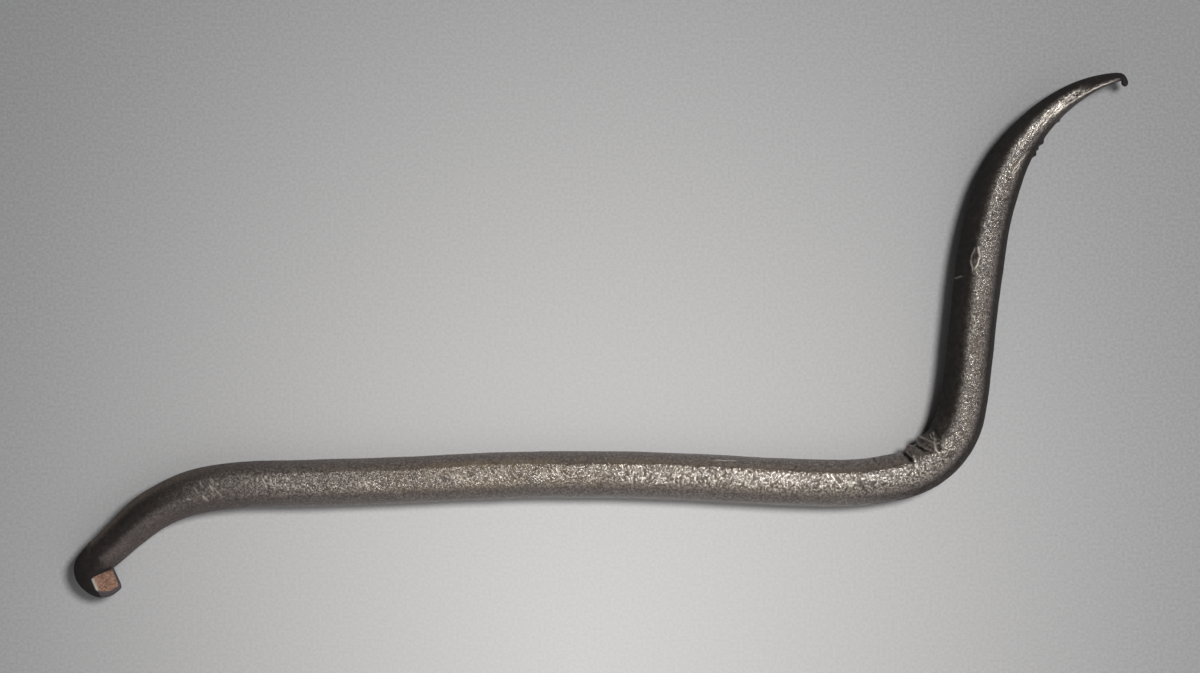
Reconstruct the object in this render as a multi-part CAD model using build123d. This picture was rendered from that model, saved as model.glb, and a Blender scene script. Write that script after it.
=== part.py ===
"""Hand-forged hive tool: one round bar, curled at the heel, bent at the elbow and drawn out to a claw.

The bar's axis lies in one level plane.  The tool lies on its side on the ground plane z = 0, with +X along
the shank and +Y along the arm.  It is built as named sections that meet face to face, square to the axis.
"""
from build123d import *
import math
import os

# ---------------------------------------------------------------- driving dimensions, millimetres and degrees
BAR_DIAMETER = 12.7          # half-inch round stock
ARM_DIAMETER = 13.5          # the arm is upset a little by the bending of the elbow
NECK_DIAMETER = 9.5          # drawn down towards the heel
CLAW_END_DIAMETER = 2.6      # where the claw becomes the point

NECK_START = (-136.1, -60.2)  # axis of the bar where the heel's curl begins, from the middle of the tool
NECK_HEADING = 45.1           # direction of the bar there, towards the shank

AXIS_HEIGHT = ARM_DIAMETER / 2 + 0.03   # the stoutest stretch touches the ground plane

# Each run of the bar: length, turn to the left, diameter at its far end.  Runs are tangent to each other.
NECK_RUNS = [(5.5, 0.0, 9.9), (8.5, -5.0, 10.9)]
NECK_BEND_RUNS = [(20.0, -29.0, 12.3), (16.5, -10.5, BAR_DIAMETER)]
SHANK_RUNS = [(50.0, 2.5, 12.6), (74.0, -6.5, BAR_DIAMETER), (29.5, 2.0, BAR_DIAMETER)]
ELBOW_RUNS = [(19.0, 13.5, 12.9), (24.5, 63.5, ARM_DIAMETER), (12.0, 9.0, 13.3)]
ARM_RUNS = [(30.5, -2.0, ARM_DIAMETER)]
CLAW_RUNS = [(22.0, -12.5, 12.4), (33.5, -40.5, 5.4), (12.0, -20.0, CLAW_END_DIAMETER)]

RING_SPACING = 5.0           # sections of a loft are no further apart than this along the axis
RING_TURN = 8.0              # nor does the bar turn further than this between two of them

# Heel: the curl, seen from above, is a disc beside the end of the neck, with well-rounded rims.
CURL_RADIUS = 6.5
CURL_BACK = 4.1              # disc centre, measured back from the neck's end
CURL_ASIDE = 2.8             # and aside, towards the inside of the curl
CURL_THICKNESS = 9.4
CURL_RIM_RADIUS = 4.0

# Toe: the cut end of the curl.  Places are (back, inwards) from the neck's end, on plan.
TOE_HEART = (5.3, 2.0)       # where the toe's crease meets the neck
TOE_CREASE_END = (7.3, 6.3)
CUT_FACE_INNER = (0.0, 4.2)
CUT_FACE_OUTER = (1.8, 9.1)
TOE_FLAT_RISE = 3.3          # the toe's flat side, above the bar's axis

# Point: the tip is turned over into a tiny ball.
POINT_LENGTH = 1.6
POINT_TIP_DIAMETER = 1.7
POINT_TURN = -35.0
BALL_RADIUS = 1.05
BALL_DROP = 1.0              # ball centre beyond the tip, along the tip's direction
BALL_ASIDE = 0.9             # and to the inside of the hook


# ---------------------------------------------------------------- the bar's axis
class Station:
    """A place on the bar's axis: where it is, which way it heads and how thick the bar is."""

    def __init__(self, x, y, heading, diameter):
        self.x = x
        self.y = y
        self.heading = heading
        self.diameter = diameter

    def plane(self):
        """The plane square to the bar here, with its normal along the bar."""
        angle = math.radians(self.heading)
        ahead = (math.cos(angle), math.sin(angle), 0)
        return Plane(origin=(self.x, self.y, AXIS_HEIGHT), x_dir=(0, 0, 1), z_dir=ahead)

    def step(self, length, turn, diameter):
        """The station at the end of a tangent arc of this length and turn."""
        half_turn = math.radians(turn) / 2
        chord = length if half_turn == 0 else length * math.sin(half_turn) / half_turn
        angle = math.radians(self.heading) + half_turn
        x = self.x + chord * math.cos(angle)
        y = self.y + chord * math.sin(angle)
        return Station(x, y, self.heading + turn, diameter)

    def aside(self, back, inwards):
        """A point on the ground plan, measured back from here and towards the inside of the heel's curl."""
        angle = math.radians(self.heading)
        x = self.x - back * math.cos(angle) + inwards * math.sin(angle)
        y = self.y - back * math.sin(angle) - inwards * math.cos(angle)
        return (x, y)


def stations_of_run(start, length, turn, end_diameter):
    """Stations along one run, start left out, close enough together for a smooth loft."""
    count = max(2, math.ceil(length / RING_SPACING), math.ceil(abs(turn) / RING_TURN))
    stations = []
    for number in range(1, count + 1):
        part = number / count
        diameter = start.diameter + (end_diameter - start.diameter) * part
        stations.append(start.step(length * part, turn * part, diameter))
    return stations


def section(start, runs):
    """A solid for one section of the bar, and the station where it ends."""
    stations = [start]
    for length, turn, end_diameter in runs:
        stations += stations_of_run(stations[-1], length, turn, end_diameter)
    rings = [station.plane() * Circle(station.diameter / 2) for station in stations]
    return loft(rings), stations[-1]


# ---------------------------------------------------------------- the two ends
REACH = 4 * CURL_RADIUS      # longer than anything in the curl


def beyond_line(start, first, second):
    """A tall block that fills the shank's side of a line on plan through two (back, inwards) points."""
    near = Vector(*start.aside(*first))
    far = Vector(*start.aside(*second))
    along = (far - near).normalized() * REACH
    across = along.rotate(Axis.Z, 90)
    outline = Polyline(near - along, far + along, far + along + across, near - along + across, close=True)
    return extrude(make_face(outline), REACH)


def toe_wedge(start):
    """A tall wedge on plan that holds the toe: between its crease and the side of the neck."""
    heart = Vector(*start.aside(*TOE_HEART))
    along_crease = (Vector(*start.aside(*TOE_CREASE_END)) - heart).normalized() * REACH
    along_neck = (Vector(*start.aside(*CUT_FACE_INNER)) - heart).normalized() * REACH
    outline = Polyline(heart, heart + along_crease, heart + along_neck, close=True)
    return extrude(make_face(outline), REACH)


def whole_curl(start):
    """The curled end before it is divided: a rounded disc, drawn out to meet the neck's end face."""
    centre = Vector(*start.aside(CURL_BACK, CURL_ASIDE))
    outer_corner = Vector(*start.aside(0, -NECK_DIAMETER / 2))
    inner_corner = Vector(*start.aside(0, NECK_DIAMETER / 2))
    outer_ahead = Vector(*start.aside(-CURL_RADIUS, -NECK_DIAMETER / 2))
    inner_ahead = Vector(*start.aside(-CURL_RADIUS, NECK_DIAMETER / 2))
    disc = Pos(centre.X, centre.Y) * Circle(CURL_RADIUS)
    stub = make_face(Polyline(outer_corner, outer_ahead, inner_ahead, inner_corner, outer_corner))
    outline = make_hull(disc.edges() + stub.edges())
    curl = extrude(outline, CURL_THICKNESS / 2, both=True)
    rims = curl.faces().sort_by(Axis.Z)[0].edges() + curl.faces().sort_by(Axis.Z)[-1].edges()
    curl = Pos(0, 0, AXIS_HEIGHT) * fillet(rims, CURL_RIM_RADIUS)
    neck_side = beyond_line(start, (0, -NECK_DIAMETER), (0, NECK_DIAMETER))
    return curl - neck_side - beyond_line(start, CUT_FACE_INNER, CUT_FACE_OUTER)


def heel_and_toe(start):
    """The curl's two sections, parted where the toe's flat side begins."""
    curl = whole_curl(start)
    wedge = toe_wedge(start)
    flat_height = AXIS_HEIGHT + TOE_FLAT_RISE
    above_flat = Pos(*start.aside(0, 0), flat_height) * Box(
        2 * REACH, 2 * REACH, REACH, align=(Align.CENTER, Align.CENTER, Align.MIN)
    )
    return curl - wedge, (curl & wedge) - above_flat


def point(start):
    """The drawn-out tip and its tiny turned-over ball."""
    tip = start.step(POINT_LENGTH, POINT_TURN, POINT_TIP_DIAMETER)
    middle = start.step(POINT_LENGTH / 2, POINT_TURN / 2, (start.diameter + tip.diameter) / 2)
    rings = [station.plane() * Circle(station.diameter / 2) for station in (start, middle, tip)]
    ball_x, ball_y = tip.aside(-BALL_DROP, BALL_ASIDE)
    return loft(rings) + Pos(ball_x, ball_y, AXIS_HEIGHT) * Sphere(BALL_RADIUS)


# ---------------------------------------------------------------- the tool
def hive_tool():
    """Every section of the forging, by name, from the toe to the point."""
    start = Station(*NECK_START, NECK_HEADING, NECK_DIAMETER)
    heel, toe = heel_and_toe(start)
    sections = {"toe": toe, "heel": heel}
    bar_runs = {
        "neck": NECK_RUNS,
        "neck_bend": NECK_BEND_RUNS,
        "shank": SHANK_RUNS,
        "elbow": ELBOW_RUNS,
        "arm": ARM_RUNS,
        "claw": CLAW_RUNS,
    }
    station = start
    for name, runs in bar_runs.items():
        sections[name], station = section(station, runs)
    sections["point"] = point(station)
    return sections


os.makedirs("parts", exist_ok=True)
for node, shape in hive_tool().items():
    export_step(shape, f"parts/{node}.step")
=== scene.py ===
"""Looks of a hand-forged hive tool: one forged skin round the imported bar, its finish and its stage.

The bar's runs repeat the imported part's own, in millimetres.  The skin is written in metres, in the same
frame.
"""

import logging
import math
from dataclasses import dataclass, field
from enum import Enum
from typing import Any

import bpy
import numpy as np
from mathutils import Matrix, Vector, noise


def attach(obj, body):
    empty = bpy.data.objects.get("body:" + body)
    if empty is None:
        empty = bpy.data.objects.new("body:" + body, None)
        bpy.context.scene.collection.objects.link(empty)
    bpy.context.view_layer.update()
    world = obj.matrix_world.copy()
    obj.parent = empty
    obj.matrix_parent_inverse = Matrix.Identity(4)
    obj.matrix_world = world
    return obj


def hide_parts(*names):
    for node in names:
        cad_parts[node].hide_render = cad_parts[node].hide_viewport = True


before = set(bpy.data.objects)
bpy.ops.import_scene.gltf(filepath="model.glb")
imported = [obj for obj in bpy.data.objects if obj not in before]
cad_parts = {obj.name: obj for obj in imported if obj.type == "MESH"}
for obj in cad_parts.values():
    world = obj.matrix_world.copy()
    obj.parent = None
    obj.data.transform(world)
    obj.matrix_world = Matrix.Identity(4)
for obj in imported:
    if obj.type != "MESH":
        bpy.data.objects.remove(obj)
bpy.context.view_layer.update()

LOG = logging.getLogger("hive_tool")
MM = 0.001
CAD_NODES = ("toe", "heel", "neck", "neck_bend", "shank", "elbow", "arm", "claw", "point")
SRGB_TOE, SRGB_SLOPE, SRGB_OFFSET, SRGB_POWER = 0.04045, 12.92, 0.055, 2.4
LEAST_LENGTH = 1e-9  # so that no vector is divided by nothing


# ------------------------------ colour and node helpers
def linear(hex_colour: str) -> tuple[float, float, float, float]:
    """Turn an sRGB hex colour into linear light.

    Args:
        hex_colour: six hex digits after a hash sign.

    Returns:
        Linear red, green, blue and full alpha.
    """
    channels = [int(hex_colour[start:start + 2], 16) / 255 for start in (1, 3, 5)]
    straight = [
        value / SRGB_SLOPE if value <= SRGB_TOE
        else ((value + SRGB_OFFSET) / (1 + SRGB_OFFSET)) ** SRGB_POWER
        for value in channels
    ]
    return (*straight, 1.0)


def add_node(
    tree: bpy.types.NodeTree, kind: str, inputs: dict[str | int, Any] | None = None, **settings: Any
) -> bpy.types.Node:
    """Add one shader node with its settings, values and links.

    Args:
        tree: the node tree it goes in.
        kind: the node's type name.
        inputs: what goes in each input, by name or number: a value, or an output socket to link.
        **settings: properties of the node itself.

    Returns:
        The new node.
    """
    node = tree.nodes.new(kind)
    for name, value in settings.items():
        setattr(node, name, value)
    for key, value in (inputs or {}).items():
        if isinstance(value, bpy.types.NodeSocket):
            tree.links.new(value, node.inputs[key])
        else:
            node.inputs[key].default_value = value
    return node


# ------------------------------ small maths
def smooth_step(low: float, high: float, value: np.ndarray) -> np.ndarray:
    """Rise smoothly from 0 at low to 1 at high."""
    part = np.clip((value - low) / (high - low), 0.0, 1.0)
    return part * part * (3 - 2 * part)


def mixed(first: np.ndarray, second: np.ndarray, share: np.ndarray) -> np.ndarray:
    """Blend first into second by share."""
    return first + (second - first) * share


def soft_least(first: np.ndarray, second: np.ndarray, width: float) -> np.ndarray:
    """The smaller of two values, with a corner rounded over this width."""
    share = np.clip(0.5 + (second - first) / (2 * width), 0.0, 1.0)
    return mixed(second, first, share) - width * share * (1 - share)


def cloud(places: np.ndarray, size: float, layers: int = 1, shift: float = 0.0) -> np.ndarray:
    """Smooth noise, about -1 to 1, at each place.

    Args:
        places: points, in millimetres, in the last axis.
        size: width of one lump, in millimetres.
        layers: how many ever finer layers to add.
        shift: offset that makes one noise differ from another.

    Returns:
        One value for each point.
    """
    flat = places.reshape(-1, 3) / size + shift
    total = np.zeros(len(flat))
    for layer in range(layers):
        fineness = 2.0 ** layer
        total += np.array([noise.noise(Vector(place)) for place in flat * fineness]) / fineness
    return total.reshape(places.shape[:-1])


# ------------------------------ the bar's axis
@dataclass(frozen=True)
class Run:
    """One tangent stretch of the bar: length, turn to the left in degrees, diameter at its far end."""

    length: float
    turn: float
    end_diameter: float


@dataclass(frozen=True)
class Rings:
    """Stations along the axis, one value each: distance, place, heading in radians and radius."""

    s: np.ndarray
    x: np.ndarray
    y: np.ndarray
    heading: np.ndarray
    radius: np.ndarray


@dataclass
class BarAxis:
    """The line the bar follows, in one level plane, from the heel to the point."""

    start: tuple[float, float] = (-136.1, -60.2)
    heading: float = 45.1
    start_diameter: float = 9.5
    height: float = 6.78
    runs: tuple[Run, ...] = (
        Run(5.5, 0.0, 9.9), Run(8.5, -5.0, 10.9),
        Run(20.0, -29.0, 12.3), Run(16.5, -10.5, 12.7),
        Run(50.0, 2.5, 12.6), Run(74.0, -6.5, 12.7), Run(29.5, 2.0, 12.7),
        Run(19.0, 13.5, 12.9), Run(24.5, 63.5, 13.5), Run(12.0, 9.0, 13.3),
        Run(30.5, -2.0, 13.5),
        Run(22.0, -12.5, 12.4), Run(33.5, -40.5, 5.4), Run(12.0, -20.0, 2.6),
    )
    tip_runs: tuple[Run, ...] = (
        Run(1.2, -47.0, 2.3), Run(0.7, -27.3, 2.0), Run(0.7, -27.3, 1.9), Run(1.1, 0.0, 1.9),
    )
    trace_step: float = 0.05
    smoothing: float = 3.0

    def trace(self) -> Rings:
        """The whole axis at close steps, its bends eased into each other.

        Returns:
            Closely spaced stations.
        """
        runs = self.runs + self.tip_runs
        ends = np.concatenate([[0.0], np.cumsum([run.length for run in runs])])
        s = np.arange(0.0, ends[-1] + self.trace_step / 2, self.trace_step)
        headings = np.concatenate([[self.heading], self.heading + np.cumsum([run.turn for run in runs])])
        diameters = np.array([self.start_diameter] + [run.end_diameter for run in runs])
        heading = np.radians(np.interp(s, ends, headings))
        body = s < self.length
        window = max(1, int(self.smoothing / self.trace_step)) | 1
        heading[body] = self.eased(heading[body], window)
        radius = np.interp(s, ends, diameters) / 2
        radius[body] = self.eased(radius[body], window * 2 + 1)
        middle = (heading[1:] + heading[:-1]) / 2
        x = self.start[0] + np.concatenate([[0.0], np.cumsum(np.cos(middle) * self.trace_step)])
        y = self.start[1] + np.concatenate([[0.0], np.cumsum(np.sin(middle) * self.trace_step)])
        return Rings(s, x, y, heading, radius)

    @staticmethod
    def eased(values: np.ndarray, window: int) -> np.ndarray:
        """Running mean that keeps the slope at both ends.

        Args:
            values: evenly spaced values.
            window: how many of them each mean takes, an odd number.

        Returns:
            As many values, smoothed.
        """
        half = window // 2
        before = 2 * values[0] - values[half:0:-1]
        after = 2 * values[-1] - values[-2:-half - 2:-1]
        padded = np.concatenate([before, values, after])
        return np.convolve(padded, np.ones(window) / window, mode="valid")

    @property
    def length(self) -> float:
        """Length from the neck's start to the claw's end, without the tip."""
        return sum(run.length for run in self.runs)

    def at(self, s: np.ndarray) -> Rings:
        """Stations at the distances asked for.

        Args:
            s: distances from the neck's start, in millimetres.

        Returns:
            One station for each distance.
        """
        dense = self.trace()
        columns = (dense.x, dense.y, dense.heading, dense.radius)
        return Rings(s, *(np.interp(s, dense.s, column) for column in columns))


# ------------------------------ marks left by the forging
GROOVE_WAVES = (2.3, 9.7)      # how quickly a groove wanders and ripples, radians to a millimetre
GROOVE_PHASE = 5.0             # makes each groove wander in its own way
GROOVE_RIPPLE = 0.05           # width of the quick ripple, millimetres
GROOVE_START = (-0.12, 0.15)   # share of its length over which a groove opens
GROOVE_END = (0.75, 1.08)      # and over which it closes


@dataclass(frozen=True)
class Unrolled:
    """The skin laid flat: distance and mean radius of each ring, and the angle of each place round it."""

    s: np.ndarray
    angle: np.ndarray
    radius: np.ndarray


@dataclass(frozen=True)
class Groove:
    """A crack, crease, scratch or ridge, from one place to another on the unrolled skin.

    Places are (distance along the bar in mm, angle round it in degrees): 0 faces the bar's left, 90 up.
    A negative depth raises a ridge.  Dark is the painted shade inside it; bright is how far it is rubbed to
    steel, and on the tip's marks a painted highlight.
    """

    start: tuple[float, float]
    end: tuple[float, float]
    width: float
    depth: float
    painted_shade: float = 0.0
    bright: float = 0.0
    wander: float = 0.1

    def trough(self, skin: Unrolled) -> np.ndarray:
        """Share of the groove's depth at each point, tapered to nothing at its ends.

        Args:
            skin: the skin laid flat.

        Returns:
            One share for each place on each ring.
        """
        middle = np.interp((self.start[0] + self.end[0]) / 2, skin.s, skin.radius)
        start = np.array([self.start[0], math.radians(self.start[1]) * middle])
        end = np.array([self.end[0], math.radians(self.end[1]) * middle])
        along = end - start
        length = np.hypot(*along)
        along = along / length
        from_start = skin.s[:, None] - start[0], skin.angle * middle - start[1]
        distance = from_start[0] * along[0] + from_start[1] * along[1]
        wander = self.wander * np.sin(distance * GROOVE_WAVES[0] + start[0] * GROOVE_PHASE)
        wander += GROOVE_RIPPLE * np.sin(distance * GROOVE_WAVES[1])
        aside = from_start[0] * along[1] - from_start[1] * along[0] + wander
        part = distance / length
        inside = smooth_step(*GROOVE_START, part) * (1 - smooth_step(*GROOVE_END, part))
        return np.exp(-(aside / self.width) ** 2) * inside


@dataclass(frozen=True)
class Dent:
    """A rounded hollow or, with a negative depth, a burr, at a place on the unrolled skin."""

    place: tuple[float, float]
    radius: float
    depth: float
    stretch: float = 1.0

    def push(self, skin: Unrolled) -> np.ndarray:
        """How far it pushes the skin out, negative in a hollow.

        Args:
            skin: the skin laid flat.

        Returns:
            Millimetres for each place on each ring.
        """
        middle = np.interp(self.place[0], skin.s, skin.radius)
        ahead = (skin.s[:, None] - self.place[0]) / (self.radius * self.stretch)
        aside = (skin.angle - math.radians(self.place[1])) * middle / self.radius
        return -self.depth * np.exp(-(ahead ** 2 + aside ** 2))


@dataclass(frozen=True)
class Strokes:
    """A group of short scratches, spread by chance over one stretch and all leaning much the same way."""

    stretch: tuple[float, float]
    sides: tuple[float, float]
    lean: tuple[float, float]
    count: int
    bright: float
    seed: int
    width: float = 0.14
    depth: float = 0.06
    wander: float = 0.08
    scales: tuple[float, float] = (0.5, 1.2)
    brightness: tuple[float, float] = (0.5, 1.0)
    spread: tuple[float, float] = (0.2, 4.0)

    def grooves(self) -> list[Groove]:
        """The group as single scratches.

        Returns:
            One groove for each scratch.
        """
        chance = np.random.default_rng(self.seed)
        found = []
        for _ in range(self.count):
            start = (chance.uniform(*self.stretch), chance.uniform(*self.sides))
            scale = chance.uniform(*self.scales)
            turn = self.lean[1] * scale + chance.normal(0.0, self.spread[1])
            ahead = self.lean[0] * scale + chance.normal(0.0, self.spread[0])
            end = (start[0] + ahead, start[1] + turn)
            bright = self.bright * chance.uniform(*self.brightness)
            found.append(Groove(start, end, self.width, self.depth, bright=bright, wander=self.wander))
        return found


# the dark inside the folds is painted shade
ELBOW_FOLDS = (
    Groove((216.6, 10), (217.4, 40), 0.26, 0.35, painted_shade=0.9),
    Groove((221.0, 0), (221.4, 18), 0.30, 0.25, painted_shade=0.6),
    Groove((226.4, 4), (227.9, 66), 0.50, 1.30, painted_shade=1.0),
    Groove((228.3, 24), (228.8, 50), 0.24, 0.45, painted_shade=0.9),
    Groove((227.6, 20), (228.3, 50), 0.18, -0.20, bright=0.25),
    Groove((229.0, 46), (228.4, 68), 0.30, -0.50, bright=1.0),
    Groove((231.6, 3), (233.2, 58), 0.40, 1.00, painted_shade=1.0),
    Groove((233.0, 50), (234.3, 72), 0.26, 0.45, painted_shade=0.9),
    Groove((232.5, 20), (234.0, 62), 0.20, -0.26, bright=0.35),
    Groove((235.1, 4), (236.3, 34), 0.30, -0.30, bright=0.35),
    Groove((236.2, 30), (236.7, 58), 0.24, -0.32, bright=0.35),
    Groove((234.4, 14), (235.0, 34), 0.28, 0.40, painted_shade=0.75),
    Groove((234.6, 40), (235.2, 62), 0.30, 0.35, painted_shade=0.55),
    Groove((239.6, 30), (237.4, 56), 0.24, -0.42, bright=0.55),
    Groove((237.5, 54), (235.9, 68), 0.22, -0.38, bright=0.55),
    Groove((236.1, 64), (235.3, 88), 0.22, -0.34, bright=0.60),
    Groove((238.3, 26), (237.7, 48), 0.20, -0.30, bright=0.50),
    Groove((238.7, 34), (238.2, 47), 0.30, 0.60, painted_shade=1.0),
    Groove((237.2, 66), (236.5, 82), 0.34, 0.60, painted_shade=1.0),
    Groove((240.6, 28), (238.8, 66), 0.40, 0.30, painted_shade=0.6),
)
ELBOW_STEPS = (
    Dent((229.4, 6), 1.3, -0.85, 0.9), Dent((235.0, 4), 1.5, -0.85), Dent((225.6, 6), 1.4, 0.40),
    Dent((232.2, 2), 0.9, 0.45, 0.7), Dent((239.6, 8), 1.5, 0.25), Dent((234.0, 40), 1.2, -0.22),
)
CLAW_SCRATCHES = (
    Groove((315.6, 106), (322.4, 121), 0.17, 0.10, bright=0.9),
    Groove((314.4, 111), (319.0, 121), 0.15, 0.08, bright=0.7),
    Groove((327.0, 104), (336.0, 92), 0.16, 0.08, bright=0.8),
    Groove((331.0, 111), (340.5, 98), 0.16, 0.08, bright=0.9),
    Groove((336.0, 116), (343.5, 103), 0.15, 0.08, bright=0.8),
)
ARM_MARKS = (
    Groove((293.4, 66), (290.2, 60), 0.20, -0.20, bright=0.35),
    Groove((290.2, 60), (286.8, 70), 0.20, -0.22, bright=0.60),
    Groove((293.7, 73), (291.4, 82), 0.22, -0.26, bright=1.0),
    Groove((291.4, 82), (287.6, 74), 0.22, -0.26, bright=1.0),
    Groove((292.6, 72), (288.6, 73), 0.42, 0.30, painted_shade=0.65),
    Groove((284.7, 6), (285.4, 42), 0.16, -0.10, bright=0.30),
)
# painted highlight along the claw's lower edge near its tip
TIP_MARKS = (
    Groove((337.0, 116), (346.0, 126), 0.22, -0.04, bright=0.45),
    Groove((344.0, 124), (356.5, 134), 0.20, -0.04, bright=0.8),
)
SHANK_MARKS = (
    Groove((172.6, 36), (178.6, 31), 0.22, -0.10, bright=0.9),
    Groove((174.0, 30), (177.0, 28), 0.20, 0.12, painted_shade=0.4),
    Groove((126.7, 84), (131.0, 89), 0.18, 0.08, bright=0.6),
)
SCRATCHES = tuple(
    groove
    for strokes in (
        Strokes((29.5, 40.0), (62, 104), (0.9, 20), 12, 0.55, 5),
        Strokes((49.0, 57.0), (68, 92), (0.6, 12), 11, 0.85, 8),
        Strokes((76.0, 81.0), (84, 98), (1.0, 14), 6, 0.80, 3),
        Strokes((97.0, 116.0), (66, 92), (0.9, 24), 12, 0.65, 21),
        Strokes((126.0, 131.0), (68, 84), (0.7, 22), 6, 0.70, 34),
        Strokes((319.0, 342.0), (88, 104), (3.5, -4), 14, 0.70, 13),
    )
    for groove in strokes.grooves()
)
BURRS = (
    Dent((324.2, 181), 0.55, -0.60, 1.4), Dent((326.1, 183), 0.40, -0.40),
    Dent((328.4, 180), 0.60, -0.60, 1.5), Dent((336.4, 181), 0.40, -0.30, 1.6),
)
CLAW_PITS = (
    Dent((344.4, 97), 0.55, 0.45), Dent((345.8, 103), 0.40, 0.35), Dent((347.9, 112), 0.60, 0.45, 1.3),
    Dent((349.4, 104), 0.35, 0.30), Dent((342.6, 112), 0.38, 0.28), Dent((350.8, 112), 0.32, 0.26),
    Dent((346.4, 120), 0.45, 0.30), Dent((341.5, 104), 0.50, 0.35, 1.5), Dent((343.6, 118), 0.40, 0.30, 1.4),
)
NECK_KINK = (Dent((16.5, 4), 3.6, -0.30),)


# ------------------------------ where each finish lies
class Layer(Enum):
    """What the skin carries at each point, as a share from 0 to 1."""

    FILM = "film"
    RUBBED = "rubbed"
    # black fire scale, and painted shade on the sides and ends of the bar where little light falls
    SCALE_AND_SHADE = "scale and shade"
    GRAIN = "grain share"
    OCHRE = "ochre"
    RELIEF = "relief"
    TOE = "toe"
    # painted shade inside the folds and the heel's crevice
    FOLD_SHADE = "fold shade"
    # edges rubbed to steel, and painted highlights on the heel's crease and the claw's tip
    POLISH_AND_HIGHLIGHT = "bright"


@dataclass(frozen=True)
class SkinZones:
    """How the finish changes along the bar and round it.

    Each list holds (distance along the bar in mm, share) pairs.  Edges are angles round the bar in degrees,
    and stretches are distances along it.
    """

    film: tuple[tuple[float, float], ...] = (
        (-10, 0.1), (4, 0.45), (25, 0.35), (45, 0.5), (90, 0.85), (200, 0.85), (238, 0.45), (262, 0.3),
        (345, 0.15),
    )
    rubbed: tuple[tuple[float, float], ...] = (
        (-10, 0.0), (12, 0.05), (40, 0.3), (60, 0.6), (85, 0.6), (120, 0.7), (150, 0.95), (215, 1.0),
        (240, 0.8), (262, 0.75), (300, 0.75), (318, 0.9), (350, 1.0), (360, 0.6),
    )
    ochre: tuple[tuple[float, float], ...] = (
        (-10, 0.9), (20, 0.9), (50, 0.1), (75, 0.35), (105, 0.95), (190, 0.5), (230, 0.3), (262, 1.0),
        (320, 1.0), (350, 0.3),
    )
    relief: tuple[tuple[float, float], ...] = (
        (-10, 0.5), (60, 0.4), (215, 0.35), (240, 0.5), (262, 0.7), (325, 0.6), (345, 0.45),
    )
    # black scale, and painted shade on the sides turned from the light: the neck's upper left, and both sides
    # of the elbow, arm and claw
    scale_and_shade_left: tuple[tuple[float, float], ...] = (
        (-10, 0.9), (16, 0.9), (34, 0.5), (50, 0.15), (70, 0.0), (227, 0.0), (234, 0.35), (241, 0.8),
        (250, 0.95), (357, 1.0),
    )
    scale_and_shade_right: tuple[tuple[float, float], ...] = (
        (-10, 0.9), (-2, 0.5), (6, 0.0), (205, 0.0), (226, 0.7), (250, 0.95), (325, 0.95), (340, 0.5),
        (357, 0.6),
    )
    left_edges: tuple[float, float, float, float] = (-16.0, 10.0, 54.0, 100.0)
    neck_edges: tuple[float, float, float, float] = (26.0, 56.0, 84.0, 112.0)
    neck_stretch: tuple[float, float] = (20.0, 60.0)
    right_edges: tuple[float, float] = (114.0, 138.0)
    warm_edges: tuple[float, float, float, float] = (30.0, 56.0, 108.0, 128.0)
    neck_warm_edges: tuple[float, float, float, float] = (-60.0, -30.0, 44.0, 62.0)
    grain_edges: tuple[float, float, float, float] = (42.0, 60.0, 112.0, 124.0)
    least_grain: float = 0.35
    # painted shade over the heel's cap
    heel_painted_shade: float = 0.95
    heel_stretch: tuple[float, float] = (-3.0, 2.5)
    tip_stretch: tuple[float, float] = (342.0, 350.0)
    tip_edges: tuple[float, float] = (116.0, 102.0)
    hook_stretch: tuple[float, float] = (356.5, 358.5)

    @staticmethod
    def band(turn: np.ndarray, edges: tuple[float, ...]) -> np.ndarray:
        """A band round the bar: it rises between the first two angles and falls between the last two."""
        return smooth_step(edges[0], edges[1], turn) * (1 - smooth_step(edges[2], edges[3], turn))

    def layers(self, s: np.ndarray, angle: np.ndarray) -> dict[Layer, np.ndarray]:
        """Shares of film, rubbing, ochre, black scale with painted shade, grain and relief at each point.

        Args:
            s: distance along the bar of each ring.
            angle: angle of each place round it.

        Returns:
            One array of rings by places for each layer.
        """
        turn = np.degrees(angle) * np.ones_like(s)[:, None]
        lists = (self.film, self.rubbed, self.ochre, self.relief, self.scale_and_shade_left, self.scale_and_shade_right)
        columns = [np.interp(s, *np.array(pairs).T)[:, None] for pairs in lists]
        film, rubbed, ochre, relief, left, right = columns
        on_bar = smooth_step(*self.neck_stretch, s)[:, None]
        # black scale and painted shade: on the bar's sides, over the heel's cap, over the tip's upper side
        # (its lower edge left lit) and on the end ball
        dark_left = left * mixed(self.band(turn, self.neck_edges), self.band(turn, self.left_edges), on_bar)
        dark_right = right * smooth_step(*self.right_edges, turn)
        heel = self.heel_painted_shade * (1 - smooth_step(*self.heel_stretch, s))[:, None]
        tip = smooth_step(*self.tip_stretch, s)[:, None] * smooth_step(*self.tip_edges, turn)
        hook = smooth_step(*self.hook_stretch, s)[:, None]
        ends = np.maximum(heel, hook) * np.ones_like(turn)
        return {
            Layer.FILM: film * np.ones_like(turn),
            Layer.RUBBED: rubbed * np.ones_like(turn),
            Layer.OCHRE: ochre * mixed(
                self.band(turn, self.neck_warm_edges), self.band(turn, self.warm_edges), on_bar,
            ),
            Layer.SCALE_AND_SHADE: np.maximum.reduce([dark_left, dark_right, tip, ends]),
            Layer.GRAIN: self.least_grain + (1 - self.least_grain) * self.band(turn, self.grain_edges),
            Layer.RELIEF: relief * np.ones_like(turn),
        }


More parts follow.
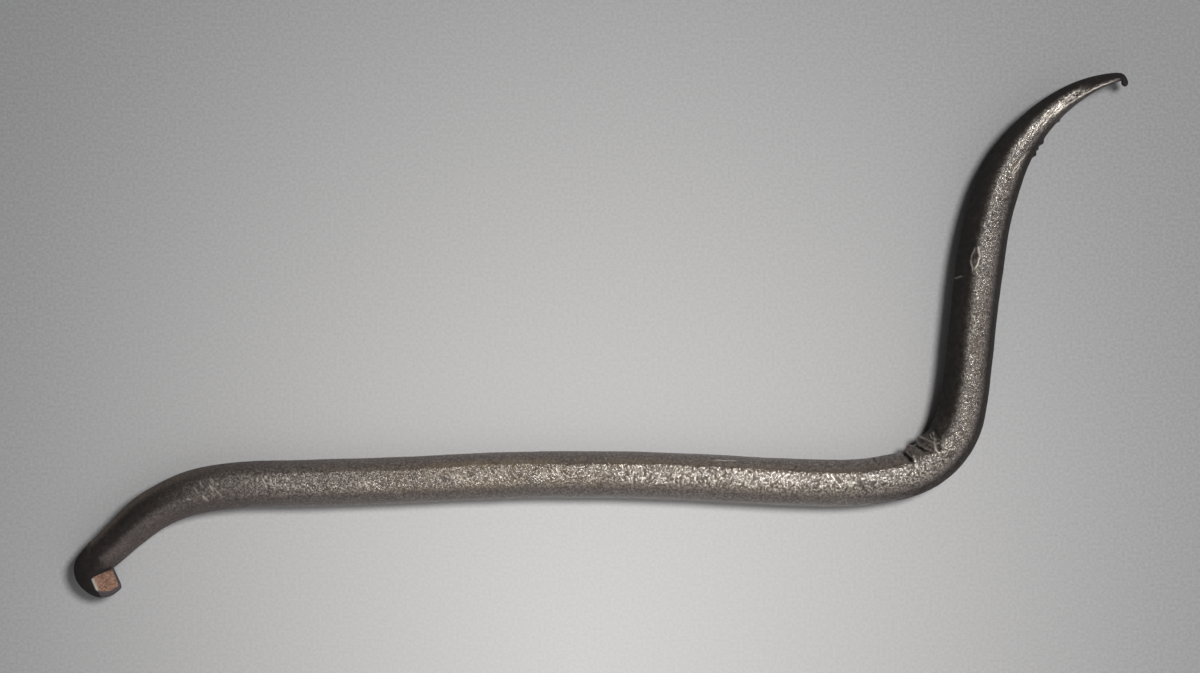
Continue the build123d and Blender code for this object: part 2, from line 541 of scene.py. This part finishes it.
# ------------------------------ the forged skin
@dataclass
class HeelCurl:
    """The curled end, seen from above, in (back, inwards) places from the neck's end."""

    middle: tuple[float, float] = (3.1, 2.45)
    reach: tuple[float, float] = (6.7, 7.3)
    squareness: float = 2.15
    half_height: float = 4.75
    outer_side: float = 5.0
    inner_side: float = 4.4
    cut_slope: float = 2.6
    heart: tuple[float, float] = (5.2, 2.1)
    notch: tuple[float, float] = (-0.3, 4.3)
    crease_end: tuple[float, float] = (7.2, 6.3)
    flat_rise: float = 3.15
    flat_fall: float = 0.24
    step_width: float = 0.35
    side_corner: float = 1.1
    neck_middle: float = -0.35
    neck_fade: tuple[float, float] = (2.6, 6.2)
    neck_side_fade: tuple[float, float] = (0.3, 1.2)
    worn_height: float = 0.97
    worn_edge: tuple[float, float] = (0.1, 0.5)
    flat_corner: float = 0.35
    margin_share: float = 0.45
    crevice_width: float = 0.26
    crevice_depth: float = 1.1
    crevice_fade: tuple[float, float] = (-0.8, 0.3)
    crevice_room: float = 2.0
    crease_place: float = 0.1
    crease_width: float = 0.2
    crease_fade: tuple[float, float] = (0.3, 0.9)
    crease_edge: tuple[float, float] = (0.0, 0.4)
    rings: int = 66
    cap: float = 0.6

    @property
    def far(self) -> float:
        """How far back the curl reaches."""
        return self.middle[0] + self.reach[0]

    def backs(self) -> np.ndarray:
        """Where the curl's rings stand, far end first, closer together as it rounds off."""
        part = np.arange(self.rings, 0, -1) / (self.rings + self.cap)
        return self.far * np.sin(part * math.pi / 2)

    def rounding(self, back: np.ndarray) -> np.ndarray:
        """Share of its full width that the curl has this far back."""
        beyond = np.clip((back - self.middle[0]) / self.reach[0], 0.0, 1.0)
        return (1 - beyond ** self.squareness) ** (1 / self.squareness)

    def sides(self, back: np.ndarray) -> tuple[np.ndarray, np.ndarray]:
        """Inwards places of the curl's two sides.

        Args:
            back: places back from the neck's end.

        Returns:
            Inwards places of the outer side and of the toe's side.
        """
        width = self.reach[1] * self.rounding(back)
        start = smooth_step(0.0, self.middle[0], back)
        outer = mixed(np.full_like(back, -self.outer_side), self.middle[1] - width, start)
        toe = soft_least(self.inner_side + self.cut_slope * back, self.middle[1] + width, self.side_corner)
        return outer, toe

    @staticmethod
    def past(
        line_from: tuple[float, float], line_to: tuple[float, float], back: np.ndarray, inwards: np.ndarray
    ) -> np.ndarray:
        """Distance past a line, on its right-hand side in (back, inwards).

        Args:
            line_from: where the line starts.
            line_to: where it ends.
            back: places back from the neck's end.
            inwards: places inwards.

        Returns:
            Millimetres past the line, negative before it.
        """
        along = np.array(line_to) - np.array(line_from)
        along = along / np.hypot(*along)
        return (back - line_from[0]) * along[1] - (inwards - line_from[1]) * along[0]

    def top(self, back: np.ndarray, inwards: np.ndarray, round_top: np.ndarray) -> dict[str, np.ndarray]:
        """Height of the curl's upper side, and masks of what is there.

        Args:
            back: places back from the neck's end.
            inwards: places inwards.
            round_top: height of the plain rounded curl there.

        Returns:
            Height, and the share of toe (about half on its margin), crevice and painted highlight along the
            crease edge at each place.
        """
        past_neck = -self.past(self.notch, self.heart, back, inwards)
        past_crease = -self.past(self.heart, self.crease_end, back, inwards)
        toe = smooth_step(0.0, self.step_width, np.minimum(past_neck, past_crease))
        neck = np.sqrt(np.clip(self.half_height ** 2 - (inwards - self.neck_middle) ** 2, 0.0, None))
        plain = mixed(np.minimum(neck, round_top), round_top, smooth_step(*self.neck_fade, back))
        plain = mixed(plain, round_top, smooth_step(*self.neck_side_fade, past_neck))
        flat = self.flat_rise - self.flat_fall * np.clip(past_crease, 0.0, None)
        cut_away = round_top * self.worn_height - flat
        face = soft_least(round_top * self.worn_height, flat, self.flat_corner)
        beside = smooth_step(*self.crevice_fade, past_crease)
        crevice = np.exp(-(past_neck / self.crevice_width) ** 2) * beside
        sunk = self.crevice_depth * crevice * np.clip(round_top / self.crevice_room, 0.0, 1.0)
        height = mixed(plain, face, toe) - sunk
        worn = toe * smooth_step(*self.worn_edge, cut_away)
        # painted highlight along the crease where the toe's flat meets the curl
        crease = np.exp(-((past_crease - self.crease_place) / self.crease_width) ** 2)
        crease = crease * smooth_step(*self.crease_fade, past_neck) * smooth_step(*self.crease_edge, cut_away)
        margin = self.margin_share * toe + (1 - self.margin_share) * worn
        return {"height": height, "toe": margin, "crevice": crevice, "crease": crease}


@dataclass
class ForgedSkin:
    """The whole bar as one closed skin of rings, hammered, pitted, cracked and scratched."""

    axis: BarAxis = field(default_factory=BarAxis)
    curl: HeelCurl = field(default_factory=HeelCurl)
    around: int = 116
    crowding: float = 0.3
    crowded_side: float = 75.0
    spacing: float = 0.85
    fine_spacing: float = 0.30
    fine_stretches: tuple[tuple[float, float], ...] = (
        (29.0, 42.0), (48.5, 58.5), (75.0, 83.0), (96.0, 132.0), (171.0, 180.0), (214.0, 242.0),
        (283.5, 295.0), (313.0, 353.0),
    )
    tip_stretch: float = 3.6
    tip_rings: int = 25
    facet_size: tuple[float, float] = (13.0, 7.5)
    facet_depth: float = 0.14
    facet_shift: float = 3.1
    lump_size: float = 3.0
    lump_depth: float = 0.055
    lump_shift: float = 11.7
    full_radius: float = 6.3
    least_slender: float = 0.12
    heel_lean: float = 0.4
    heel_lean_length: float = 7.0
    ball_radius: float = 1.12
    facets: int = 6
    facet_facing: tuple[tuple[float, float], ...] = (
        (0, 100), (60, 92), (95, 88), (150, 90), (215, 90), (245, 95), (262, 104), (310, 104), (335, 98),
        (357, 86),
    )
    facet_wander: float = 8.0
    wander_size: float = 20.8
    wander_shift: float = 4.3
    facet_corner: float = 0.975
    corner_softness: float = 0.022
    facet_share: tuple[tuple[float, float], ...] = (
        (0, 0.0), (14, 0.3), (60, 0.38), (190, 0.38), (230, 0.35), (262, 0.62), (300, 0.58), (330, 0.35),
        (357, 0.2),
    )
    claw_lean: tuple[tuple[float, float], ...] = ((328, 0.0), (343, 0.30), (352, 0.75), (358, 0.85))
    marks: tuple[Groove, ...] = ELBOW_FOLDS + CLAW_SCRATCHES + TIP_MARKS + ARM_MARKS + SHANK_MARKS + SCRATCHES
    dents: tuple[Dent, ...] = ELBOW_STEPS + BURRS + CLAW_PITS + NECK_KINK

    def build(self) -> bpy.types.Object:
        """Make the skin's object.

        Returns:
            The closed mesh object, in metres, with its wear, painted shade and painted highlights stored on
            its points.
        """
        points, s, angle, masks = self.rings()
        outward = self.outward(points)
        push, painted_shade, bright = self.relief(points, s, angle)
        points = points + outward * push[..., None]
        tip = points[-1].mean(axis=0)
        heel = points[0].mean(axis=0)
        count = points.shape[0]
        vertices = np.vstack([points.reshape(-1, 3), heel, tip]) * MM
        mesh = bpy.data.meshes.new("forging")
        mesh.from_pydata(vertices.tolist(), [], self.faces(count, self.around))
        mesh.polygons.foreach_set("use_smooth", [True] * len(mesh.polygons))
        finish = SkinZones().layers(s, angle) | {
            Layer.TOE: masks["toe"],
            # painted shade in the folds and in the heel's crevice
            Layer.FOLD_SHADE: np.maximum(painted_shade, masks["crevice"]),
            # edges rubbed to steel, with painted highlights on the crease and the claw's tip
            Layer.POLISH_AND_HIGHLIGHT: np.maximum(bright, masks["crease"]),
        }
        for layer, values in finish.items():
            self.store(mesh, layer.value, values)
        skin = bpy.data.objects.new("forging", mesh)
        bpy.context.scene.collection.objects.link(skin)
        LOG.info("forging: %d rings of %d, %d faces", count, self.around, len(mesh.polygons))
        return skin

    @staticmethod
    def store(mesh: bpy.types.Mesh, name: str, values: np.ndarray) -> None:
        """Keep one number per point on the mesh, with the end rings' means at the two end points.

        Args:
            mesh: the skin's mesh.
            name: what the numbers are called.
            values: one number for each place on each ring.
        """
        flat = np.concatenate([values.ravel(), [values[0].mean(), values[-1].mean()]])
        layer = mesh.attributes.new(name, "FLOAT", "POINT")
        layer.data.foreach_set("value", flat.astype(np.float32))

    def rings(self) -> tuple[np.ndarray, np.ndarray, np.ndarray, dict[str, np.ndarray]]:
        """All rings before the hammering, from the heel's far side to the tip.

        Returns:
            Points, distance along the bar of each ring, angle of each place round it, and masks.
        """
        even = np.linspace(-math.pi / 2, 1.5 * math.pi, self.around, endpoint=False)
        angle = even - self.crowding * np.sin(even - math.radians(self.crowded_side))
        curl, curl_masks = self.curl_rings(angle)
        s = self.distances()
        body = self.body_rings(s, angle)
        masks = {
            name: np.vstack([values, np.zeros(body.shape[:2])]) for name, values in curl_masks.items()
        }
        return np.concatenate([curl, body]), np.concatenate([-self.curl.backs(), s]), angle, masks

    def body_rings(self, s: np.ndarray, angle: np.ndarray) -> np.ndarray:
        """Round rings along the axis, with the small ball at the tip.

        Args:
            s: distance along the bar of each ring.
            angle: angle of each place round it.

        Returns:
            Points, in millimetres.
        """
        stations = self.axis.at(s)
        end = self.axis.trace().s[-1]
        ball = np.sqrt(np.clip(self.ball_radius ** 2 - (s - end + self.ball_radius) ** 2, 0.0, None))
        radius = np.where(s > end - self.ball_radius, ball, np.maximum(stations.radius, ball))
        radius = radius[:, None] * self.hammered_round(s, angle)
        lean = self.heel_lean * np.clip(1 - s / self.heel_lean_length, 0.0, 1.0) ** 2
        left = np.stack([-np.sin(stations.heading), np.cos(stations.heading)], axis=1)
        aside = lean[:, None] + radius * np.cos(angle)
        body = np.empty((len(s), self.around, 3))
        body[..., 0] = stations.x[:, None] + left[:, 0:1] * aside
        body[..., 1] = stations.y[:, None] + left[:, 1:2] * aside
        leaning = np.interp(s, *np.array(self.claw_lean).T)[:, None]
        body[..., 2] = self.axis.height + radius * (np.sin(angle) - leaning * np.cos(angle))
        return body

    def hammered_round(self, s: np.ndarray, angle: np.ndarray) -> np.ndarray:
        """Share of the full radius left where the hammer has flattened the round bar into soft sides.

        Args:
            s: distance along the bar of each ring.
            angle: angle of each place round it.

        Returns:
            One share for each place on each ring.
        """
        where = np.stack([s, 0 * s, 0 * s], axis=1)
        facing = np.interp(s, *np.array(self.facet_facing).T)
        wander = cloud(where, self.wander_size, shift=self.wander_shift)
        phase = np.radians(facing + self.facet_wander * wander)
        pitch = 2 * math.pi / self.facets
        from_flat = (angle - phase[:, None] + pitch / 2) % pitch - pitch / 2
        flat = math.cos(pitch / 2) / np.cos(from_flat)
        corner = np.full_like(flat, self.facet_corner)
        side = soft_least(flat, corner, self.corner_softness) / self.facet_corner
        share = np.interp(s, *np.array(self.facet_share).T)
        return mixed(np.ones_like(side), side, share[:, None])

    def curl_rings(self, angle: np.ndarray) -> tuple[np.ndarray, dict[str, np.ndarray]]:
        """Rings of the heel's curl, with the toe's flat face and the crevice beside the neck.

        Args:
            angle: angle of each place round a ring.

        Returns:
            Points, in millimetres, and masks of the toe, the crevice and the crease's painted highlight.
        """
        curl = self.curl
        back = curl.backs()[:, None] + 0 * angle
        outer, toe = curl.sides(back)
        half_width = (toe - outer) / 2
        inwards = (toe + outer) / 2 - half_width * np.cos(angle)
        round_height = curl.half_height * curl.rounding(back)
        top = curl.top(back, inwards, np.abs(round_height * np.sin(angle)))
        upper = np.sin(angle) > 0
        height = np.where(upper, top["height"], -np.abs(round_height * np.sin(angle)))
        heading = math.radians(self.axis.heading)
        points = np.empty(back.shape + (3,))
        points[..., 0] = self.axis.start[0] - back * math.cos(heading) + inwards * math.sin(heading)
        points[..., 1] = self.axis.start[1] - back * math.sin(heading) - inwards * math.cos(heading)
        points[..., 2] = self.axis.height + height
        masks = {name: np.where(upper, top[name], 0.0) for name in ("toe", "crevice", "crease")}
        return points, masks

    def distances(self) -> np.ndarray:
        """Where the rings stand along the bar: closer together on the finely marked stretches.

        Returns:
            Distances from the neck's start, in millimetres.
        """
        end = self.axis.trace().s[-1]
        places = [0.0]
        while places[-1] < end - self.tip_stretch:
            here = places[-1]
            fine = any(low <= here <= high for low, high in self.fine_stretches)
            places.append(here + (self.fine_spacing if fine else self.spacing))
        part = np.linspace(0.0, 1.0, self.tip_rings + 1)[1:-1]
        closing = places[-1] + (end - places[-1]) * np.sin(part * math.pi / 2)
        return np.concatenate([places, closing])

    @staticmethod
    def outward(points: np.ndarray) -> np.ndarray:
        """Unit vectors square to the skin, pointing out.

        Args:
            points: rings of points.

        Returns:
            One vector for each point.
        """
        along = np.gradient(points, axis=0)
        around = np.roll(points, -1, axis=1) - np.roll(points, 1, axis=1)
        normal = np.cross(around, along)
        length = np.linalg.norm(normal, axis=2, keepdims=True)
        normal = normal / np.maximum(length, LEAST_LENGTH)
        away = points - points.mean(axis=1, keepdims=True)
        return normal * np.sign((normal * away).sum(axis=(1, 2)))[:, None, None]

    def relief(self, points: np.ndarray, s: np.ndarray, angle: np.ndarray) -> tuple[np.ndarray, ...]:
        """How far the hammering and the marks push each point out, and how much painted shade and brightness
        each has.

        Args:
            points: the smooth rings.
            s: distance along the bar of each ring.
            angle: angle of each place round it.

        Returns:
            Push in millimetres, share of painted shade in the folds, and share of rubbed edge and painted
            highlight at each point.
        """
        radius = np.linalg.norm(points - points.mean(axis=1, keepdims=True), axis=2).mean(axis=1)
        slender = np.clip(radius / self.full_radius, self.least_slender, 1.0)[:, None]
        unrolled = np.empty_like(points)
        unrolled[..., 0] = s[:, None] / self.facet_size[0]
        unrolled[..., 1] = radius[:, None] * np.cos(angle) / self.facet_size[1]
        unrolled[..., 2] = radius[:, None] * np.sin(angle) / self.facet_size[1]
        facets = cloud(unrolled, 1.0, shift=self.facet_shift)
        lumps = cloud(points, self.lump_size, layers=2, shift=self.lump_shift)
        push = slender * (self.facet_depth * facets + self.lump_depth * lumps)
        painted_shade = np.zeros_like(push)
        bright = np.zeros_like(push)
        skin = Unrolled(s, angle, radius)
        for groove in self.marks:
            trough = groove.trough(skin)
            push -= groove.depth * trough
            painted_shade = np.maximum(painted_shade, groove.painted_shade * trough)
            bright = np.maximum(bright, groove.bright * trough)
        for dent in self.dents:
            push += dent.push(skin)
        return push, painted_shade * (1 - bright), bright

    @staticmethod
    def faces(count: int, around: int) -> list[tuple[int, ...]]:
        """Quads between neighbouring rings, and a fan of triangles at each end.

        Args:
            count: number of rings.
            around: places on each ring.

        Returns:
            Vertex numbers of each face, in order round it as seen from outside.
        """
        faces = []
        for ring in range(count - 1):
            here, there = ring * around, (ring + 1) * around
            for place in range(around):
                after = (place + 1) % around
                faces.append((here + place, here + after, there + after, there + place))
        heel, tip, end = count * around, count * around + 1, (count - 1) * around
        for place in range(around):
            after = (place + 1) % around
            faces.append((heel, after, place))
            faces.append((tip, end + place, end + after))
        return faces


# ------------------------------ finishes
@dataclass(frozen=True)
class Noise:
    """A speckle whose lumps are this many millimetres wide."""

    name: str
    size: float
    detail: float = 2.0
    roughness: float = 0.5
    distortion: float = 0.0


@dataclass(frozen=True)
class Ramp:
    """A smooth change of one share between two levels of another."""

    name: str
    of: str
    low: float
    high: float
    to: tuple[float, float] = (0.0, 1.0)


@dataclass(frozen=True)
class Sum:
    """One sum on two shares, or on a share and a number."""

    name: str
    operation: str
    first: str
    second: str | float


Step = Noise | Ramp | Sum


@dataclass(frozen=True)
class Coat:
    """A colour or a roughness, and the share that it covers of what lies below."""

    value: str | float
    cover: str


def wire(
    tree: bpy.types.NodeTree, sockets: dict[str, bpy.types.NodeSocket], steps: tuple[Step, ...]
) -> None:
    """Add one node for each step, and keep its output under the step's name.

    Args:
        tree: the material's node tree.
        sockets: outputs by name, with "place" for the texture place; added to.
        steps: noises, ramps and sums, in order.
    """
    for step in steps:
        if isinstance(step, Noise):
            node = add_node(tree, "ShaderNodeTexNoise", {
                "Vector": sockets["place"], "Scale": 1 / (step.size * MM), "Detail": step.detail,
                "Roughness": step.roughness, "Distortion": step.distortion,
            })
        elif isinstance(step, Ramp):
            node = add_node(tree, "ShaderNodeMapRange", {
                "Value": sockets[step.of], "From Min": step.low, "From Max": step.high,
                "To Min": step.to[0], "To Max": step.to[1],
            }, interpolation_type="SMOOTHSTEP")
        else:
            inputs = {0: sockets[step.first], 1: sockets.get(step.second, step.second)}
            node = add_node(tree, "ShaderNodeMath", inputs, operation=step.operation)
        sockets[step.name] = node.outputs[0]


@dataclass(frozen=True)
class ForgedSteel:
    """Mild steel bar, forged by hand at red heat and never ground.

    Fire scale makes it nearly black with a soft shine, a thin brown film of old rust and oil warms it,
    and the high spots of its grain are rubbed to bare steel and sparkle.  Shade on its sides and ends is
    painted on.
    """

    scale_black: str = "#262021"
    grain_depth: float = 0.20
    shine: float = 0.45
    steps: tuple[Step, ...] = (
        Noise("patch", 6.0, 4.0, 0.6, 0.4),
        Noise("mottle", 1.7, 4.0, 0.65, 0.4),
        # pores and dust of a few tenths of a millimetre, drawn twice as coarse so that they show
        Noise("grain", 0.85, 4.0, 0.65, 0.9),
        Noise("worm", 0.90, 3.0, 0.6, 2.6),
        Noise("fine", 0.60, 3.0, 0.6),
        # thin winding ridges of the grain, broken into dashes where the bar is rubbed
        Sum("off middle", "SUBTRACT", "worm", 0.5),
        Sum("aside", "ABSOLUTE", "off middle", 0.0),
        Ramp("ridge", "aside", 0.075, 0.015),
        Ramp("broken", "mottle", 0.32, 0.44),
        Ramp("dashes", "fine", 0.43, 0.53),
        Sum("broken ridge", "MULTIPLY", "ridge", "broken"),
        Sum("dashed ridge", "MULTIPLY", "broken ridge", "dashes"),
        Sum("rubbed grain", "MULTIPLY", "rubbed", "grain share"),
        # black scale and its painted shade, their edge broken by the mottle
        Sum("scale and shade edge", "ADD", "scale and shade", "mottle"),
        Ramp("scale and shade cover", "scale and shade edge", 0.42, 1.66),
        Ramp("clean", "scale and shade cover", 0.90, 0.10),
        Sum("clean ridge", "MULTIPLY", "dashed ridge", "clean"),
        Sum("sparkle", "MULTIPLY", "clean ridge", "rubbed grain"),
        # the rubbed edges and the painted highlights shine as bare steel
        Sum("bare edge and highlight", "MULTIPLY", "bright", 0.5),
        Sum("bare steel and highlight", "MAXIMUM", "sparkle", "bare edge and highlight"),
        # the film, and the black scale with its painted shade, lie in spots of their own
        Ramp("purple spots", "mottle", 0.40, 0.62),
        Ramp("film spots", "grain", 0.24, 0.52),
        Sum("film cover", "MULTIPLY", "film", "film spots"),
        Ramp("warm spots", "patch", 0.25, 0.62),
        Sum("warm film", "MULTIPLY", "ochre", "warm spots"),
        Sum("ochre cover", "MULTIPLY", "film cover", "warm film"),
        Ramp("pale spots", "fine", 0.48, 0.70),
        Sum("pale cover", "MULTIPLY", "film cover", "pale spots"),
        Ramp("margin cover", "toe", 0.10, 0.42),
        Ramp("toe cover", "toe", 0.55, 0.90),
        Ramp("rust spots", "fine", 0.30, 0.66),
        Sum("rust cover", "MULTIPLY", "toe cover", "rust spots"),
        # matt scale, smoother where rubbed, and uneven throughout
        Ramp("worn roughness", "rubbed", 0.0, 1.0, (0.60, 0.15)),
        Ramp("unevenness", "mottle", 0.3, 0.7, (-0.08, 0.08)),
        Sum("roughness", "ADD", "worn roughness", "unevenness"),
        # grain too fine for the mesh
        Sum("fine height", "MULTIPLY", "fine", 0.35),
        Sum("ridge height", "MULTIPLY", "ridge", 0.2),
        Sum("grain height", "ADD", "grain", "fine height"),
        Sum("height", "ADD", "grain height", "ridge height"),
    )
    colours: tuple[Coat, ...] = (
        Coat("#453a3a", "purple spots"),    # purplish bloom of the fire scale
        Coat("#564c47", "film cover"),      # brown film of rust and oil
        Coat("#77664e", "ochre cover"),     # the film's straw-coloured patches
        Coat("#7a6e66", "pale cover"),      # dusty high spots of the film
        Coat("#17120f", "scale and shade cover"),      # black fire scale, and painted shade on the bar's sides, heel cap and tip; matt
        Coat("#4e464a", "margin cover"),    # purple-grey rim of the cut end
        Coat("#5f473d", "toe cover"),       # dark rust of the cut end
        Coat("#9c7862", "rust cover"),      # orange dust in the rust's pores
        Coat("#bfb8ae", "bare steel and highlight"),            # bare steel, the sparkle, and half the painted highlights
        Coat("#cbc1b4", "bright"),          # edges polished by handling, and painted highlights on the heel's crease and the claw's tip
        Coat("#0d0b0b", "fold shade"),           # painted shade inside the folds and the heel's crevice
    )
    roughnesses: tuple[Coat, ...] = (Coat(0.95, "scale and shade cover"), Coat(0.24, "bare steel and highlight"))

    def material(self) -> bpy.types.Material:
        """The finish as a material.

        Returns:
            The new material.
        """
        material = bpy.data.materials.new("forged steel, fire scale and brown film")
        material.use_nodes = True
        tree = material.node_tree
        shader = tree.nodes["Principled BSDF"]
        shader.inputs["Specular IOR Level"].default_value = self.shine
        sockets = {"place": add_node(tree, "ShaderNodeTexCoord").outputs["Object"]}
        for layer in Layer:
            carried = add_node(tree, "ShaderNodeAttribute", attribute_name=layer.value)
            sockets[layer.value] = carried.outputs["Fac"]
        wire(tree, sockets, self.steps)
        colour: Any = linear(self.scale_black)
        for coat in self.colours:
            inputs = {0: sockets[coat.cover], 6: colour, 7: linear(coat.value)}
            colour = add_node(tree, "ShaderNodeMix", inputs, data_type="RGBA").outputs[2]
        roughness = sockets["roughness"]
        for coat in self.roughnesses:
            inputs = {0: sockets[coat.cover], 2: roughness, 3: coat.value}
            roughness = add_node(tree, "ShaderNodeMix", inputs, data_type="FLOAT").outputs[0]
        bump = add_node(tree, "ShaderNodeBump", {
            "Strength": sockets["relief"], "Distance": self.grain_depth * MM, "Height": sockets["height"],
        })
        tree.links.new(colour, shader.inputs["Base Color"])
        tree.links.new(sockets["bare steel and highlight"], shader.inputs["Metallic"])
        tree.links.new(roughness, shader.inputs["Roughness"])
        tree.links.new(bump.outputs["Normal"], shader.inputs["Normal"])
        return material


@dataclass(frozen=True)
class PalePaper:
    """Smooth grey-white card: matt, faintly mottled, with a painted pool of light: lighter at its middle,
    darker away from it.
    """

    # the painted pool of light: the card's colour at its middle, and painted shade away from it
    light: str = "#dddbda"
    painted_shade: str = "#8a8a8b"
    middle: tuple[float, float] = (-6.0, -92.0)
    reach: tuple[float, float] = (-0.040, 0.300)
    stretch: tuple[float, float, float] = (1.22, 1.0, 1.0)
    roughness: float = 0.9
    # the card's fibres, drawn several times as coarse so that they show
    fleck: Noise = Noise("fleck", 0.8, 2.0)
    mottling: Ramp = Ramp("mottling", "fleck", 0.2, 0.8, (-0.07, 0.07))

    def material(self) -> bpy.types.Material:
        """The card as a material.

        Returns:
            The new material.
        """
        material = bpy.data.materials.new("pale card, matt")
        material.use_nodes = True
        tree = material.node_tree
        shader = tree.nodes["Principled BSDF"]
        shader.inputs["Roughness"].default_value = self.roughness
        sockets = {"place": add_node(tree, "ShaderNodeTexCoord").outputs["Object"]}
        middle = (self.middle[0] * MM * self.stretch[0], self.middle[1] * MM, 0.0)
        place = add_node(
            tree, "ShaderNodeVectorMath", {0: sockets["place"], 1: self.stretch}, operation="MULTIPLY",
        ).outputs[0]
        distance = add_node(tree, "ShaderNodeVectorMath", {0: place, 1: middle}, operation="DISTANCE")
        sockets["distance"] = distance.outputs["Value"]
        # painted pool of light: the card darkens with distance from its middle
        painted_light_falloff = Ramp("painted_light_falloff", "distance", *self.reach)
        wire(tree, sockets, (self.fleck, painted_light_falloff, self.mottling, Sum("cover", "ADD", "painted_light_falloff", "mottling")))
        card = add_node(tree, "ShaderNodeMix", {
            0: sockets["cover"], 6: linear(self.light), 7: linear(self.painted_shade),
        }, data_type="RGBA").outputs[2]
        tree.links.new(card, shader.inputs["Base Color"])
        return material


# ------------------------------ stage
@dataclass
class Studio:
    """Floor, lights and camera: a pale card under one soft lamp, seen from straight above."""

    axis_height: float = BarAxis.height
    frame_width: float = 326.4
    centre: tuple[float, float] = (-0.6, -0.3)
    lens: float = 100.0
    sensor: float = 36.0
    floor_size: float = 3.0
    key_azimuth: float = 30.0
    key_elevation: float = 67.0
    key_distance: float = 1.4
    key_size: float = 0.38
    key_power: float = 15.5
    fill_side: tuple[float, float, float] = (0.42, -0.76, 0.5)
    fill_reach: tuple[float, float] = (0.2, 1.0)
    fill_light: tuple[float, float] = (0.004, 0.66)
    backdrop: float = 0.17

    def build(self) -> None:
        """Make the floor, the lights and the camera."""
        for part in (self.floor, self.lights, self.camera):
            part()
            LOG.info("stage: %s", part.__name__)

    def floor(self) -> None:
        """A pale sheet under the tool, with a painted pool of light."""
        half = self.floor_size / 2
        mesh = bpy.data.meshes.new("floor")
        corners = [(-half, -half, 0), (half, -half, 0), (half, half, 0), (-half, half, 0)]
        mesh.from_pydata(corners, [], [(0, 1, 2, 3)])
        floor = bpy.data.objects.new("floor", mesh)
        bpy.context.scene.collection.objects.link(floor)
        mesh.materials.append(PalePaper().material())

    def lights(self) -> None:
        """One soft key light from the upper right, and a dim room that is lighter towards the lower right.

        The camera sees a plain tone in place of that room.
        """
        azimuth, elevation = math.radians(self.key_azimuth), math.radians(self.key_elevation)
        level = math.cos(elevation)
        towards = Vector((math.cos(azimuth) * level, math.sin(azimuth) * level, math.sin(elevation)))
        lamp = bpy.data.lights.new("key", "AREA")
        lamp.shape = "DISK"
        lamp.size = self.key_size
        lamp.energy = self.key_power
        key = bpy.data.objects.new("key", lamp)
        key.location = towards * self.key_distance
        key.rotation_euler = towards.to_track_quat("Z", "Y").to_euler()
        bpy.context.scene.collection.objects.link(key)
        world = bpy.data.worlds.new("sky")
        world.use_nodes = True
        tree = world.node_tree
        direction = add_node(tree, "ShaderNodeTexCoord").outputs["Generated"]
        facing = add_node(
            tree, "ShaderNodeVectorMath", {0: direction, 1: self.fill_side}, operation="DOT_PRODUCT",
        ).outputs["Value"]
        glow = add_node(tree, "ShaderNodeMapRange", {
            "Value": facing, "From Min": self.fill_reach[0], "From Max": self.fill_reach[1],
            "To Min": self.fill_light[0], "To Max": self.fill_light[1],
        }, interpolation_type="SMOOTHSTEP").outputs["Result"]
        seen = add_node(tree, "ShaderNodeLightPath").outputs["Is Camera Ray"]
        strength = add_node(
            tree, "ShaderNodeMix", {0: seen, 2: glow, 3: self.backdrop}, data_type="FLOAT",
        ).outputs[0]
        background = tree.nodes["Background"]
        background.inputs["Color"].default_value = (1.0, 1.0, 1.0, 1.0)
        tree.links.new(strength, background.inputs["Strength"])
        bpy.context.scene.world = world

    def camera(self) -> None:
        """A long lens straight above the tool."""
        data = bpy.data.cameras.new("camera")
        data.lens = self.lens
        data.sensor_width = self.sensor
        distance = self.frame_width * MM * self.lens / self.sensor
        camera = bpy.data.objects.new("camera", data)
        camera.location = (self.centre[0] * MM, self.centre[1] * MM, self.axis_height * MM + distance)
        bpy.context.scene.collection.objects.link(camera)
        bpy.context.scene.camera = camera
        bpy.context.scene.view_settings.view_transform = "Standard"


def main() -> None:
    """Build the tool and its stage."""
    logging.basicConfig(level=logging.INFO, format="%(message)s")
    skin = ForgedSkin().build()
    skin.data.materials.append(ForgedSteel().material())
    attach(skin, "root")
    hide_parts(*CAD_NODES)
    Studio().build()


if __name__ == "__main__":
    main()
